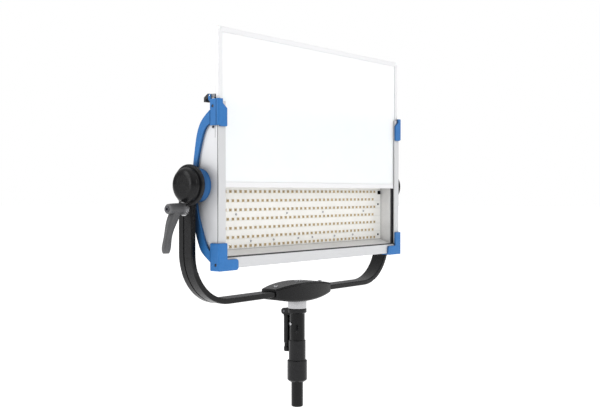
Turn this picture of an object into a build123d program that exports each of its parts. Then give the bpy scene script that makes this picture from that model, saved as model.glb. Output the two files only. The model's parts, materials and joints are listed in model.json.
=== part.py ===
from build123d import *
import os
from math import cos, hypot, radians, sin, sqrt

# A led panel light in its yoke, on the 28 mm socket adapter of a stand.
# X is the width, with +X to the right seen from the front. The front faces -Y. Z is up.
# Heights (z) below are measured from the tilt axis and depths (d) from the front face of the head.
# save() lifts every piece by AXIS_HEIGHT, so the origin is at the shoulder of the adapter's tail pin.

# ---------------------------------------------------------------- driving dimensions, mm

# head
HEAD_W = 686.0
HEAD_H = 350.0
SHOULDER_DEPTH = 27.0
# side outlines as (depth, height), from the top down: the back cover, and the bow's two edges
BACK_CURVE = ((27.0, 156.0), (34.0, 150.5), (52.0, 133.5), (61.0, 116.0), (69.5, 84.0), (75.5, 49.0),
              (79.5, 0.0), (76.5, -50.0), (68.0, -104.0), (61.5, -121.7), (53.7, -137.6),
              (42.0, -149.0), (27.0, -160.0))
BOW_OUTER = ((20.5, 156.0), (27.7, 150.6), (46.0, 133.0), (55.2, 115.8), (63.5, 81.0), (69.0, 47.0),
             (73.0, 0.0), (69.0, -50.0), (61.5, -104.4), (54.9, -121.7), (47.2, -137.6),
             (35.4, -149.0), (20.5, -160.0))
BOW_INNER = ((20.5, 128.0), (34.5, 118.0), (43.5, 99.5), (51.5, 73.6), (58.0, 45.0), (61.0, 15.0),
             (61.0, -20.0), (58.5, -50.0), (52.0, -76.0), (43.6, -99.0), (28.6, -129.7), (20.5, -138.0))
FRONT_Y = -70.0
APERTURE_W = 645.0
APERTURE_H = 301.0
BEZEL_T = 2.5
SIDE_T = 3.0
SKIN_T = 2.5
COVER_T = 1.8
BOARD_DEPTH = 45.0
BOARD_TOP = 131.5
BOARD_LOW = -139.0
BOARD_T = 1.6
WALL_T = 1.5

# light emitting diodes
LED_ROWS = 14
LED_COLUMNS = 37
LED_PITCH_X = 16.33
LED_PITCH_Z = 20.0
LED_ROW_SHIFT = -3.4
LED_W = 7.5
LED_H = 6.5
LED_T = 1.2

# diffuser panel, drawn where it stands half raised
DIFFUSER_W = 680.0
DIFFUSER_H = 334.5
DIFFUSER_T = 7.5
DIFFUSER_FRONT = 3.0
DIFFUSER_BOTTOM = -4.5
RAIL_W = 11.0
CHANNEL_BACK = 12.0

# tilt pivot
TILT_Y = -12.0
SHAFT_R = 10.0
HUB_R = 34.0
HUB_END = 357.0
DISC_R = 43.5
DISC_IN = 367.5
DISC_OUT = 376.0
CAP_R = 37.5
CAP_OUT = 391.0
CAP_OUT_RIGHT = 385.0

# yoke
YOKE_IN = 360.0
BAR_T = 12.5
BAR_W = 40.0
BAR_BOTTOM = -259.0
BAR_EDGE_R = 2.5
BEND_R = 115.0
ARM_TOP = 20.0
CLAMP_HALF = 104.0
CLAMP_DEPTH = 34.0

# spigot and stand adapter
COLLAR_R = 22.8
SPIGOT_R = 14.3
SOCKET_TOP = -296.0
SPIGOT_LENGTH = 70.0
FLANGE_R = 23.0
GRIP_R = 18.5
BARREL_R = 20.5
BARREL_BOTTOM = -421.0
RING_R = 24.0
AXIS_HEIGHT = 472.0
TAIL_LENGTH = 60.0
STUD_R = 8.0
FOLD_Y = 32.0
FOLD_Z = -304.0
FOLD_LENGTH = 99.0
CLAMP_SCREW_Z = -345.0
CLAMP_SCREW_TURN = 39.0

# tilt lock lever
LEVER_Z = -49.5

# electronics box on the back
BOX_HALF = 136.0
BOX_BOTTOM = -104.0
BOX_TOP = 72.0
BOX_BACK = 112.0
LID_T = 2.5
FAN_X = 96.0
FAN_Z = 32.0
FAN_R = 28.0

RUNNING = 0.05
GAP = 0.3
SIDES = (("left", -1), ("right", 1))

os.makedirs("parts", exist_ok=True)


# ---------------------------------------------------------------- helpers

def save(name, shape):
    """Writes one node, lifted so that the tail pin's shoulder is at z = 0."""
    solids = [Pos(0, 0, AXIS_HEIGHT) * solid for solid in shape.solids()]
    export_step(solids[0] if len(solids) == 1 else Compound(children=solids), f"parts/{name}.step")


def depth(d):
    """The y of a plane d behind the head's front face."""
    return FRONT_Y + d


def block(x0, x1, y0, y1, z0, z1):
    """A box between two x, two y and two z values, in any order."""
    size = (abs(x1 - x0), abs(y1 - y0), abs(z1 - z0))
    return Pos((x0 + x1) / 2, (y0 + y1) / 2, (z0 + z1) / 2) * Box(*size)


def rod_x(radius, x0, x1, y, z):
    return Pos((x0 + x1) / 2, y, z) * Rot(0, 90, 0) * Cylinder(radius, abs(x1 - x0))


def rod_y(radius, y0, y1, x, z):
    return Pos(x, (y0 + y1) / 2, z) * Rot(90, 0, 0) * Cylinder(radius, abs(y1 - y0))


def rod_z(radius, z0, z1, x=0.0, y=0.0):
    return Pos(x, y, (z0 + z1) / 2) * Cylinder(radius, abs(z1 - z0))


def turned_x(points, y, z):
    """A turned piece about an axis along X. Points are (x, radius)."""
    face = make_face(Polyline(*points, points[0]))
    return Pos(0, y, z) * revolve(face, Axis.X)


def turned_z(points):
    """A turned piece about the Z axis. Points are (radius, z)."""
    face = Plane.XZ * make_face(Polyline(*points, points[0]))
    return revolve(face, Axis.Z)


def mirrored(shape, side):
    """Shapes of the left side are drawn at -X; this gives the one for either side."""
    return shape if side < 0 else mirror(shape, about=Plane.YZ)


def save_pair(name, shape):
    """One node for a left piece and its mirror image on the right, as two solids."""
    save(name, Compound(children=[mirrored(shape, side).solids()[0] for side in (-1, 1)]))


def side_curve(points):
    """A smooth curve in the side view through (depth, height) points."""
    return Spline(*[(depth(d), z) for d, z in points])


def moved_in(points, amount):
    """The points of a side curve moved square to it, towards the front."""
    result, last = [], len(points) - 1
    for i, (d, z) in enumerate(points):
        (d0, z0), (d1, z1) = points[max(i - 1, 0)], points[min(i + 1, last)]
        length = hypot(d1 - d0, z1 - z0)
        result.append((d + amount * (z1 - z0) / length, z - amount * (d1 - d0) / length))
    return result


def head_section(front_y, inset=0.0):
    """The side outline of the head: flat front, top and bottom, short shoulders, curved back."""
    top, shoulder = HEAD_H / 2, depth(SHOULDER_DEPTH - inset)
    back = moved_in(BACK_CURVE, inset)
    (high_d, high_z), (low_d, low_z) = back[0], back[-1]
    sides = Polyline((depth(low_d), low_z), (shoulder, -top), (front_y, -top), (front_y, top),
                     (shoulder, top), (depth(high_d), high_z))
    return Plane.YZ * make_face(sides.edges() + side_curve(back).edges())


def head_slab(x0, x1, front_y, inset=0.0):
    """The head's side outline given a thickness from x0 to x1."""
    return Pos(x0, 0, 0) * extrude(head_section(front_y, inset), x1 - x0)


def pan_screw(radius, height, socket_r, turn=None):
    """A pan head screw lying along Z with its head's seat at z = 0, and a hexagon socket."""
    head = Pos(0, 0, height / 2) * Cylinder(radius, height)
    head = fillet(head.edges().sort_by(Axis.Z)[-1], height * 0.4)
    socket = Pos(0, 0, height * 0.75) * extrude(RegularPolygon(socket_r, 6), height)
    screw = head - socket
    return turn * screw if turn else screw


FACING_FRONT = Rot(90, 0, 0)
FACING_BACK = Rot(-90, 0, 0)
FACING_LEFT = Rot(0, -90, 0)


# ---------------------------------------------------------------- head: shell

def make_front_frame():
    """A flat U of side lips and bottom strip; its top is open for the diffuser to rise."""
    outer = block(-HEAD_W / 2, HEAD_W / 2, depth(0), depth(BEZEL_T), -HEAD_H / 2, HEAD_H / 2)
    outer = fillet(outer.edges().filter_by(Axis.Y), 4)
    hole = block(-APERTURE_W / 2, APERTURE_W / 2, depth(-1), depth(9), -APERTURE_H / 2, HEAD_H)
    save("front_frame", outer - hole)


PLATE_INSET = 2.5
SEAM_W = 1.2
SLIT_D = 10.3
SLIT_Z = (98.5, 130.0)


def make_side_plates():
    """Flat ends with a seam behind the front frame and a short slit below the upper guard."""
    plate = head_slab(-HEAD_W / 2, -HEAD_W / 2 + SIDE_T, depth(BEZEL_T + SEAM_W), PLATE_INSET)
    plate -= rod_x(SHAFT_R, -HEAD_W / 2 - 1, -HEAD_W / 2 + 9, TILT_Y, 0)
    plate -= block(-HEAD_W / 2 - 1, -HEAD_W / 2 + 1, depth(SLIT_D - 0.5), depth(SLIT_D + 0.5), *SLIT_Z)
    save_pair("side_plates", plate)


INNER_HALF = HEAD_W / 2 - SIDE_T
PANEL_Z = HEAD_H / 2 - SKIN_T
SHOULDER_Y = depth(SHOULDER_DEPTH)


def make_rails():
    """Extrusions that close the top and bottom and guide the diffuser between them."""
    web = (depth(CHANNEL_BACK), depth(CHANNEL_BACK + WALL_T))
    top = block(-INNER_HALF, INNER_HALF, web[0], SHOULDER_Y, PANEL_Z, HEAD_H / 2)
    top += block(-INNER_HALF, INNER_HALF, *web, APERTURE_H / 2 + WALL_T, PANEL_Z)
    save("top_rail", top)
    ledge_top = -DIFFUSER_H / 2 + 2
    bottom = block(-INNER_HALF, INNER_HALF, depth(BEZEL_T), SHOULDER_Y, -HEAD_H / 2, -PANEL_Z)
    bottom += block(-INNER_HALF, INNER_HALF, *web, -PANEL_Z, -APERTURE_H / 2 - WALL_T)
    bottom += block(-INNER_HALF, INNER_HALF, depth(BEZEL_T), web[0], ledge_top - 2, ledge_top)
    save("bottom_rail", bottom)


VENT_SLOT_W = 54.0
VENT_SLOT_H = 4.0
VENT_STEP = 11.0
VENT_ROWS = 17


def make_rear_cover():
    """The curved back skin, with a bank of vent slots towards each end."""
    cover = head_slab(-INNER_HALF, INNER_HALF, SHOULDER_Y - 20)
    cover -= head_slab(-INNER_HALF - 1, INNER_HALF + 1, SHOULDER_Y - 30, COVER_T)
    cover -= block(-400, 400, SHOULDER_Y - 40, SHOULDER_Y - COVER_T, -200, 200)
    cover -= block(-400, 400, SHOULDER_Y - 40, SHOULDER_Y, PANEL_Z - 0.01, 200)
    cover -= block(-400, 400, SHOULDER_Y - 40, SHOULDER_Y, -200, -PANEL_Z + 0.01)
    slots = []
    for row in range(VENT_ROWS):
        z = (row - (VENT_ROWS - 1) / 2) * VENT_STEP
        for x in (-272, -200, 200, 272):
            slot = block(x - VENT_SLOT_W / 2, x + VENT_SLOT_W / 2, depth(30), depth(90), z, z + VENT_SLOT_H)
            slots.append(slot)
    cover -= slots
    cable_hole = rod_y(9, depth(60), depth(90), 0, 50)
    save("rear_cover", cover - cable_hole)


# ---------------------------------------------------------------- head: light box

BOX_WALL_X = APERTURE_W / 2 + 0.5
BOARD_BACK = BOARD_DEPTH + BOARD_T


def box_funnel(grow, y0, y1):
    """The light box's hollow, or its outside: straight sides, top and bottom leaning inwards."""
    front_z = APERTURE_H / 2 + grow
    outline = [(y0, -front_z), (y1, BOARD_LOW - grow), (y1, BOARD_TOP + grow), (y0, front_z)]
    face = Plane.YZ * make_face(Polyline(*outline, outline[0]))
    half = BOX_WALL_X + grow
    return Pos(-half, 0, 0) * extrude(face, 2 * half)


def make_light_box():
    """The reflective walls round the board, with a flange that backs the diffuser's channel."""
    y0, y1, y2 = depth(CHANNEL_BACK), depth(CHANNEL_BACK + WALL_T), depth(BOARD_BACK)
    z_out = APERTURE_H / 2 + WALL_T
    walls = box_funnel(WALL_T, y0, y2)
    walls += block(-INNER_HALF, INNER_HALF, y0, y1, -z_out, z_out)
    walls -= box_funnel(0, y0, y2)
    save("light_box", walls)


def led_places():
    for row in range(LED_ROWS):
        z = LED_ROW_SHIFT + (row - (LED_ROWS - 1) / 2) * LED_PITCH_Z
        count = LED_COLUMNS - row % 2
        for column in range(count):
            yield (column - (count - 1) / 2) * LED_PITCH_X, z


def make_led_board():
    board = block(-BOX_WALL_X, BOX_WALL_X, depth(BOARD_DEPTH), depth(BOARD_BACK), BOARD_LOW, BOARD_TOP)
    save("led_board", board)
    diodes = [
        block(x - LED_W / 2, x + LED_W / 2, depth(BOARD_DEPTH - LED_T), depth(BOARD_DEPTH),
              z - LED_H / 2, z + LED_H / 2)
        for x, z in led_places()
    ]
    save("led_packages", Compound(children=diodes))
    places = [(x, z) for x in (-311, 311) for z in (-127, -46.5, 6.6, 62, 116)]
    places += [(x, z) for x in (-243, -69, 69, 243) for z in (-63.4, 56.6)]
    places += [(x, -123.4) for x in (-195, -117, -27, 27, 117, 195)]
    screws = [
        Pos(x, depth(BOARD_DEPTH), z) * pan_screw(2.6, 1.6, 1.2, FACING_FRONT) for x, z in places
    ]
    sensor = block(310, 319, depth(BOARD_DEPTH - 3), depth(BOARD_DEPTH), -20, -11)
    save("board_fittings", Compound(children=screws + [sensor]))


FIN_STEP = 14.0
FIN_T = 2.0


def make_heat_sink():
    base_back = BOARD_BACK + 3.5
    half_x, half_z = BOX_WALL_X - 1, 112.0
    base = block(-half_x, half_x, depth(BOARD_BACK), depth(base_back), -half_z, half_z)
    keep = Plane.YZ * Pos(depth(base_back) + 100, 0) * Rectangle(200, 2 * half_z - 6)
    fin = extrude(head_section(FRONT_Y, COVER_T + 2.5) & keep, FIN_T)
    count = int(2 * half_x / FIN_STEP) - 1
    fins = [Pos((i - count / 2) * FIN_STEP, 0, 0) * fin for i in range(count + 1)]
    save("heat_sink", base + fins)


# ---------------------------------------------------------------- head: blue brackets and bows

BRACKET_OUT = HEAD_W / 2 + 5
BRACKET_FRONT = -4.5
BRACKET_END = HEAD_H / 2 + 4.3


def front_leaf(points, y0, y1):
    """A plate with an outline in X and Z, from y0 to y1."""
    face = Plane.XZ * make_face(Polyline(*points, points[0]))
    return Pos(0, y1, 0) * extrude(face, y1 - y0)


LOWER_LEG_TOP = -121.0
LOWER_SIDE_BACK = 20.5
LOWER_FOOT_END = -288.0


def make_lower_brackets():
    """L shaped corner guards that wrap the front, the side and the underside."""
    bottom, inner = -BRACKET_END, -HEAD_H / 2 + 19
    outline = [(-BRACKET_OUT, bottom), (LOWER_FOOT_END, bottom), (LOWER_FOOT_END, inner),
               (-322, inner), (-322, LOWER_LEG_TOP), (-BRACKET_OUT, LOWER_LEG_TOP)]
    guard = front_leaf(outline, depth(BRACKET_FRONT), depth(0))
    corners = [edge for edge in guard.edges().filter_by(Axis.Y) if edge.center().X > 1 - BRACKET_OUT]
    foot = [edge for edge in corners if edge.center().X > LOWER_FOOT_END - 1]
    guard = fillet(foot, 6.5)
    guard = fillet([edge for edge in guard.edges().filter_by(Axis.Y)
                    if abs(edge.center().X + 322) < 0.5], 2.5)
    guard += block(-BRACKET_OUT, -HEAD_W / 2, depth(BRACKET_FRONT), depth(LOWER_SIDE_BACK),
                   bottom, LOWER_LEG_TOP)
    guard += block(-BRACKET_OUT, LOWER_FOOT_END - 6, depth(BRACKET_FRONT), depth(LOWER_SIDE_BACK),
                   bottom, -HEAD_H / 2)
    outer = [guard.edges().filter_by(Axis.Z).group_by(Axis.X)[0].sort_by(Axis.Y)[0]]
    outer += guard.edges().filter_by(Axis.Y).group_by(Axis.X)[0]
    guard = fillet(outer, 3)
    guard -= rod_x(3.2, -BRACKET_OUT - 1, -BRACKET_OUT + 3, depth(5), -166)
    save_pair("lower_corner_guards", guard)


UPPER_LEG_BOTTOM = 122.0
UPPER_SIDE_BACK = 20.5
LATCH_PIN_Y = depth(24.5)
LATCH_PIN_Z = 186.5
LATCH_PIN_R = 1.6


def make_upper_brackets():
    """Guards whose front leaf covers the diffuser's channel; the panel runs behind it."""
    outline = [
        (-BRACKET_OUT, UPPER_LEG_BOTTOM + 2), (-342, UPPER_LEG_BOTTOM + 2), (-341, UPPER_LEG_BOTTOM),
        (-324, UPPER_LEG_BOTTOM), (-322, UPPER_LEG_BOTTOM + 2), (-322, 160), (-335, 170),
        (-335, BRACKET_END), (-BRACKET_OUT, BRACKET_END),
    ]
    guard = front_leaf(outline, depth(BRACKET_FRONT), depth(0))
    guard += block(-BRACKET_OUT, -HEAD_W / 2, depth(BRACKET_FRONT), depth(UPPER_SIDE_BACK),
                   UPPER_LEG_BOTTOM + 2, BRACKET_END)
    guard += block(-BRACKET_OUT, -322, depth(CHANNEL_BACK + 1), depth(UPPER_SIDE_BACK), HEAD_H / 2, BRACKET_END)
    guard += block(-HEAD_W / 2, -322, depth(UPPER_SIDE_BACK), SHOULDER_Y + 1, HEAD_H / 2, BRACKET_END)
    outer = guard.edges().filter_by(Axis.Z).group_by(Axis.X)[0].sort_by(Axis.Y)[0]
    guard = fillet(outer, 3)
    for x0, x1 in ((-345.5, -342.5), (-327.5, -324.5)):
        lug = block(x0, x1, LATCH_PIN_Y - 3.5, LATCH_PIN_Y + 3.5, HEAD_H / 2 + 2, LATCH_PIN_Z)
        lug += rod_x(3.5, x0, x1, LATCH_PIN_Y, LATCH_PIN_Z)
        guard += lug
    guard -= rod_x(LATCH_PIN_R, -350, -320, LATCH_PIN_Y, LATCH_PIN_Z)
    guard -= rod_x(3.2, -BRACKET_OUT - 1, -BRACKET_OUT + 3, depth(13), 164)
    guard -= block(-BRACKET_OUT - 1, -BRACKET_OUT + 1, depth(2.2), depth(3.3), 100, 200)
    pin = rod_x(LATCH_PIN_R, -345.5, -324.5, LATCH_PIN_Y, LATCH_PIN_Z)
    save_pair("upper_corner_guards", guard)
    save_pair("latch_pins", pin)


def make_latches():
    """A flat catch in front of the pin and a thumb tab behind it, one over each channel."""
    x0, x1 = -342.5 + GAP, -327.5 - GAP
    catch = rod_x(3.4, x0, x1, LATCH_PIN_Y, LATCH_PIN_Z)
    catch += block(x0, x1, depth(12.4), LATCH_PIN_Y, LATCH_PIN_Z - 3.4, LATCH_PIN_Z + 3.4)
    catch -= rod_x(LATCH_PIN_R + RUNNING, x0 - 1, x1 + 1, LATCH_PIN_Y, LATCH_PIN_Z)
    side_view = [(0.0, -3.4), (0.0, 3.4), (4.0, 4.5), (9.0, 4.5), (19.5, -3.0), (19.5, -12.5),
                 (14.5, -12.5), (14.0, -7.0), (8.0, -3.4)]
    outline = [(LATCH_PIN_Y + y, LATCH_PIN_Z + z) for y, z in side_view]
    tab = Pos(x0, 0, 0) * extrude(Plane.YZ * make_face(Polyline(*outline, outline[0])), x1 - x0)
    tab -= rod_x(LATCH_PIN_R + RUNNING, x0 - 1, x1 + 1, LATCH_PIN_Y, LATCH_PIN_Z)
    for name, side in SIDES:
        save(f"latch_{name}", mirrored(catch + tab, side))


BOW_T = 6.0


def make_bows():
    """Curved side bows along the rear edge of each side plate, forged with the tilt hub."""
    out = -HEAD_W / 2 - BOW_T
    outer, inner = side_curve(BOW_OUTER), side_curve(BOW_INNER)
    band = make_face(outer.edges() + inner.edges() + [Line(outer @ 0, inner @ 0), Line(outer @ 1, inner @ 1)])
    bow = Pos(out, 0, 0) * extrude(Plane.YZ * band, BOW_T)
    hub = turned_x([(-HEAD_W / 2, 0), (-HEAD_W / 2, HUB_R + 2), (-HEAD_W / 2 - 5, HUB_R + 1),
                    (-HUB_END + 2, HUB_R - 2), (-HUB_END, HUB_R - 4), (-HUB_END, 0)], TILT_Y, 0)
    bow = bow + hub - rod_x(SHAFT_R, -400, -300, TILT_Y, 0)
    save_pair("side_bows", bow)


def make_pivots():
    """Shafts carried by the head. They turn in bushes in the yoke's arms."""
    shaft_end = DISC_OUT + 5
    shaft = rod_x(SHAFT_R, -HEAD_W / 2 + SIDE_T, -shaft_end, TILT_Y, 0)
    shaft += rod_x(SHAFT_R + 6, -HEAD_W / 2 + SIDE_T, -HEAD_W / 2 + SIDE_T + 6, TILT_Y, 0)
    shaft += rod_x(SHAFT_R + 4, -DISC_OUT - 1, -DISC_OUT - 5, TILT_Y, 0)
    washer = rod_x(28, -HUB_END, -YOKE_IN + GAP, TILT_Y, 0)
    washer -= rod_x(SHAFT_R, -400, -300, TILT_Y, 0)
    bush_hole = SHAFT_R + RUNNING
    bush = rod_x(SHAFT_R + 3, -YOKE_IN, -YOKE_IN - BAR_T, TILT_Y, 0)
    bush -= rod_x(bush_hole, -400, -300, TILT_Y, 0)
    save_pair("pivot_shafts", shaft)
    save_pair("friction_washers", washer)
    save_pair("pivot_bushes", bush)


def make_head_screws():
    """Socket screws in the brackets and in the side plates."""
    screws = []
    for side in (-1, 1):
        for d, z, sunk in ((5, -166, 3.0), (13, 164, 3.0)):
            screws.append(mirrored(Pos(-BRACKET_OUT + sunk, depth(d), z)
                                   * pan_screw(3.0, 2.4, 1.5, FACING_LEFT), side))
        plate_screw = Pos(-HEAD_W / 2, depth(15.5), 120.5) * pan_screw(2.4, 2.0, 1.2, FACING_LEFT)
        screws.append(mirrored(plate_screw, side))
    save("side_screws", Compound(children=screws))


# ---------------------------------------------------------------- diffuser

def make_diffuser():
    """A white sheet in a light frame, which slides in the channels behind the front lips."""
    half, top = DIFFUSER_W / 2, DIFFUSER_BOTTOM + DIFFUSER_H
    y0, y1 = depth(DIFFUSER_FRONT), depth(DIFFUSER_FRONT + DIFFUSER_T)
    rail = RAIL_W
    ring = block(-half, half, y0, y1, DIFFUSER_BOTTOM, top)
    ring -= block(-half + rail, half - rail, y0 - 1, y1 + 1, DIFFUSER_BOTTOM + rail, top - rail)
    sheet_y = (y0 + 1.2, y0 + 4.2)
    groove = 3.5
    sheet = block(-half + rail - groove, half - rail + groove, *sheet_y,
                  DIFFUSER_BOTTOM + rail - groove, top - rail + groove)
    ring -= sheet
    corner_cut = [
        block(sx * half, sx * (half - 7), y0 - 1, y1 + 1, z0, z1)
        for sx in (-1, 1) for z0, z1 in ((top - 7, top), (DIFFUSER_BOTTOM, DIFFUSER_BOTTOM + 7))
    ]
    ring -= corner_cut
    corners = [
        block(sx * (half - 0.4), sx * (half - 7), y0 + 0.4, y1 - 0.4, z0, z1)
        for sx in (-1, 1)
        for z0, z1 in ((top - 7, top - 0.4), (DIFFUSER_BOTTOM + 0.4, DIFFUSER_BOTTOM + 7))
    ]
    save("diffuser_sheet", sheet)
    save("diffuser_frame", ring)
    save("diffuser_corners", Compound(children=corners))


# ---------------------------------------------------------------- electronics box

INSIDE_BACK = BOX_BACK - LID_T
PANEL_X = 66.0
PANEL_LOW = -20.0
PANEL_HIGH = 62.0
PANEL_T = 2.0
BUTTON_X = (-44.0, -18.0, 8.0)
BUTTON_Z = -6.0
BUTTON_R = 5.5
KNOB_X = 44.0
KNOB_Z = 32.0
SOCKET_Z = -76.0
MAINS_X = -84.0
MAINS_R = 11.5
DATA_X = (-28.0, 12.0)
DATA_R = 9.5
SOCKET_DEPTH = 15.0
JACK_X = 56.0
ROCKER_X = 104.0
ROCKER_Z = SOCKET_Z


def make_electronics_box():
    shell = block(-BOX_HALF, BOX_HALF, depth(50), depth(INSIDE_BACK), BOX_BOTTOM, BOX_TOP)
    shell = fillet(shell.edges().filter_by(Axis.Y), 10)
    shell -= block(-BOX_HALF + 2.5, BOX_HALF - 2.5, 0, 400, BOX_BOTTOM + 2.5, BOX_TOP - 2.5)
    shell -= head_slab(-HEAD_W / 2, HEAD_W / 2, -200)
    slots = [
        block(x, x + 3, depth(82), depth(104), z0, z1)
        for x in range(-110, 111, 10) for z0, z1 in ((BOX_TOP - 9, BOX_TOP + 9),)
    ]
    save("electronics_box", shell - slots)


def make_rear_lid():
    """The flat back of the box: fan grilles, the control panel's seat and the sockets' holes."""
    lid = block(-BOX_HALF, BOX_HALF, depth(INSIDE_BACK), depth(BOX_BACK), BOX_BOTTOM, BOX_TOP)
    lid = fillet(lid.edges().filter_by(Axis.Y), 10)
    y0, y1 = depth(INSIDE_BACK - 5), depth(BOX_BACK + 5)
    cuts = []
    for x in (-FAN_X, FAN_X):
        for row in range(-4, 5):
            z = FAN_Z + row * 5.6
            reach = sqrt(max((FAN_R - 1) ** 2 - (row * 5.6) ** 2, 9.0))
            cuts.append(block(x - reach, x - 1.6, y0, y1, z - 1.6, z + 1.6))
            cuts.append(block(x + 1.6, x + reach, y0, y1, z - 1.6, z + 1.6))
    for x, radius in ((MAINS_X, MAINS_R), (DATA_X[0], DATA_R), (DATA_X[1], DATA_R)):
        cuts.append(rod_y(radius, y0, y1, x, SOCKET_Z))
    cuts.append(block(JACK_X - 8, JACK_X + 8, y0, y1, SOCKET_Z - 7, SOCKET_Z + 7))
    cuts.append(block(ROCKER_X - 10, ROCKER_X + 10, y0, y1, ROCKER_Z - 7, ROCKER_Z + 7))
    cuts.append(rod_y(3.2, y0, y1, KNOB_X, KNOB_Z))
    for x in BUTTON_X:
        cuts.append(rod_y(3.0, y0, y1, x, BUTTON_Z))
    save("rear_lid", lid - cuts)
    places = [(x, z) for x in (-BOX_HALF + 9, BOX_HALF - 9) for z in (BOX_BOTTOM + 9, BOX_TOP - 9)]
    places += [(0, BOX_BOTTOM + 7)]
    screws = [Pos(x, depth(BOX_BACK), z) * pan_screw(3.4, 2.2, 1.7, FACING_BACK) for x, z in places]
    save("lid_screws", Compound(children=screws))


def make_control_panel():
    y0, y1 = depth(BOX_BACK), depth(BOX_BACK + PANEL_T)
    plate = block(-PANEL_X, PANEL_X, y0, y1, PANEL_LOW, PANEL_HIGH)
    plate = fillet(plate.edges().filter_by(Axis.Y), 5)
    window = block(-56, 20, y0, y1 - 0.6, 10, 54)
    plate -= block(-56, 20, y0 - 1, y1 + 1, 10, 54)
    plate -= rod_y(3.2, y0 - 1, y1 + 1, KNOB_X, KNOB_Z)
    for x in BUTTON_X:
        plate -= rod_y(BUTTON_R + 0.25, y0 - 1, y1 + 1, x, BUTTON_Z)
    save("control_panel", plate)
    save("display_window", window)
    for number, x in enumerate(BUTTON_X, 1):
        cap = rod_y(BUTTON_R, y0 + 1.3, y1 + 1.6, x, BUTTON_Z)
        cap = fillet(cap.edges().sort_by(Axis.Y)[-1], 1.0)
        cap += rod_y(2.9, y0 - 8, y0 + 1.3, x, BUTTON_Z)
        save(f"menu_button_{number}", cap)


KNOB_R = 14.0
KNOB_H = 16.0


def make_encoder_knob():
    y0 = depth(BOX_BACK + PANEL_T) + 0.6
    knob = rod_y(KNOB_R, y0, y0 + KNOB_H, KNOB_X, KNOB_Z)
    knob = fillet(knob.edges().sort_by(Axis.Y)[-1], 2.0)
    flutes = [
        rod_y(1.3, y0 - 1, y0 + KNOB_H - 3, KNOB_X + KNOB_R * cos(radians(a)), KNOB_Z + KNOB_R * sin(radians(a)))
        for a in range(0, 360, 18)
    ]
    knob -= flutes
    knob -= block(KNOB_X - 0.6, KNOB_X + 0.6, y0 + KNOB_H - 0.8, y0 + KNOB_H + 1, KNOB_Z + 4, KNOB_Z + KNOB_R)
    spindle = rod_y(3.1, y0 - 14, y0, KNOB_X, KNOB_Z)
    save("encoder_knob", knob + spindle)


def round_socket(x, radius, contacts):
    """A round panel socket with a square flange and a ring of contact pins at its bottom."""
    y_back, y_in = depth(BOX_BACK), depth(BOX_BACK) - SOCKET_DEPTH
    flange = block(x - radius - 3.5, x + radius + 3.5, y_back, y_back + 2, SOCKET_Z - 15, SOCKET_Z + 15)
    flange = fillet(flange.edges().filter_by(Axis.Y), 3)
    body = flange + rod_y(radius, y_in - 3, y_back, x, SOCKET_Z)
    body -= rod_y(radius - 2, y_in, y_back + 3, x, SOCKET_Z)
    for k in range(contacts):
        angle = radians(90 + k * 360 / contacts)
        body += rod_y(1.1, y_in - 1, y_back - 6, x + 4.6 * cos(angle), SOCKET_Z + 4.6 * sin(angle))
    return body


def make_sockets():
    y_back, y_in = depth(BOX_BACK), depth(BOX_BACK) - SOCKET_DEPTH
    save("mains_inlet", round_socket(MAINS_X, MAINS_R, 3))
    save("data_sockets", Compound(children=[round_socket(x, DATA_R, 5).solids()[0] for x in DATA_X]))
    jack = block(JACK_X - 8, JACK_X + 8, y_in - 3, y_back + 1.5, SOCKET_Z - 7, SOCKET_Z + 7)
    jack -= block(JACK_X - 6, JACK_X + 6, y_in, y_back + 3, SOCKET_Z - 4.5, SOCKET_Z + 4)
    save("network_jack", jack)


def make_rocker():
    """The power switch: a rocker on a pin across a hole in the lid, drawn pressed at its right end."""
    pivot_y = depth(BOX_BACK) - 3
    half = 8.3
    outline = [(-half, -2.0), (half, -2.0), (half, 3.2), (0, 5.0), (-half, 4.6)]
    face = Plane.XY * make_face(Polyline(*outline, outline[0]))
    rocker = Pos(ROCKER_X, pivot_y, ROCKER_Z - 5.6) * extrude(face, 11.2)
    rocker += Pos(ROCKER_X, pivot_y, ROCKER_Z) * Cylinder(1.4, 13.6)
    save("power_rocker", rocker)


def make_inside_pieces():
    """Boards, power supply and fans inside the box."""
    y0 = depth(81)
    board = block(-70, 70, y0, y0 + 1.6, -52, 58)
    board += block(-60, -32, y0 + 1.6, y0 + 10, -30, 10)
    board += block(-20, 6, y0 + 1.6, y0 + 6, 10, 40)
    for x in (22, 36, 50):
        board += rod_y(5, y0 + 1.6, y0 + 15, x, -32)
    save("driver_board", board)
    supply = block(-128, -78, depth(81), depth(92), -48, -8)
    supply += block(-124, -82, depth(92), depth(102), -44, -12)
    save("power_supply", supply)
    y0, y1 = depth(92), depth(107)
    hub_y = y0 + 3
    frame = block(FAN_X - 31, FAN_X + 31, y0, y1, FAN_Z - 31, FAN_Z + 31)
    frame -= rod_y(FAN_R + 1, y0 - 1, y1 + 1, FAN_X, FAN_Z)
    frame += block(FAN_X - 30, FAN_X + 30, y0, y0 + 2, FAN_Z - 2, FAN_Z + 2)
    frame += rod_y(9, y0, y0 + 2, FAN_X, FAN_Z)
    frame += rod_y(2, hub_y - 1, y1 - 5, FAN_X, FAN_Z)
    save("fan_frame", frame)
    rotor = rod_y(11, hub_y, y1 - 2, FAN_X, FAN_Z)
    blade = Pos(0, (hub_y + y1 - 2) / 2, 18) * Rot(0, 0, 40) * Box(12, 1.4, 16)
    rotor += [Pos(FAN_X, 0, FAN_Z) * Rot(0, k * 360 / 7, 0) * blade for k in range(7)]
    rotor -= rod_y(2 + RUNNING, hub_y - 1, y1 - 4.5, FAN_X, FAN_Z)
    save("fan_rotor", rotor)


# ---------------------------------------------------------------- yoke

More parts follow.
